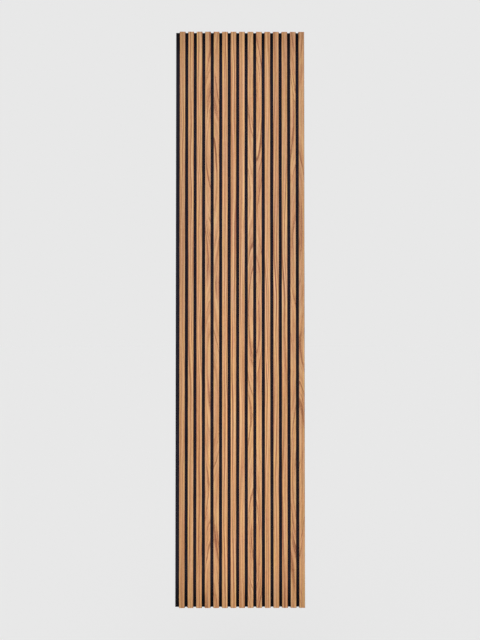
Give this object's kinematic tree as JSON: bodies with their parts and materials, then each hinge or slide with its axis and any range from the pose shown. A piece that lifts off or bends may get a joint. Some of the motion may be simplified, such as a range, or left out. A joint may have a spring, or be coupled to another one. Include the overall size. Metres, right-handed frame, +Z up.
{
  "type": "acoustic slat panel",
  "caption": "Tall wall panel of narrow oak-veneered slats set at an even gap on a black felt board, which absorbs sound and laps under the next panel.",
  "frame": {"origin": "middle of the panel, half way up and across, on the plane of the felt's back face that goes against the wall", "axes": "+Z up along the slats, +X to the right across the slats as seen from the room, +Y back into the wall"},
  "size_m": [0.605, 0.021, 2.7],
  "materials": {
    "oak_veneer": "matt lacquered oak veneer on the face of a black-dyed fibreboard bar",
    "black_felt": "dense black needled polyester felt",
    "staple_steel": "galvanised flat staple wire"
  },
  "bodies": {
    "root": {"slat_01": "oak_veneer", "slat_02": "oak_veneer", "slat_03": "oak_veneer", "slat_04": "oak_veneer", "slat_05": "oak_veneer", "slat_06": "oak_veneer", "slat_07": "oak_veneer", "slat_08": "oak_veneer", "slat_09": "oak_veneer", "slat_10": "oak_veneer", "slat_11": "oak_veneer", "slat_12": "oak_veneer", "slat_13": "oak_veneer", "slat_14": "oak_veneer", "slat_15": "oak_veneer", "felt_backing": "black_felt", "backing_staples": "staple_steel"}
  },
  "joints": []
}
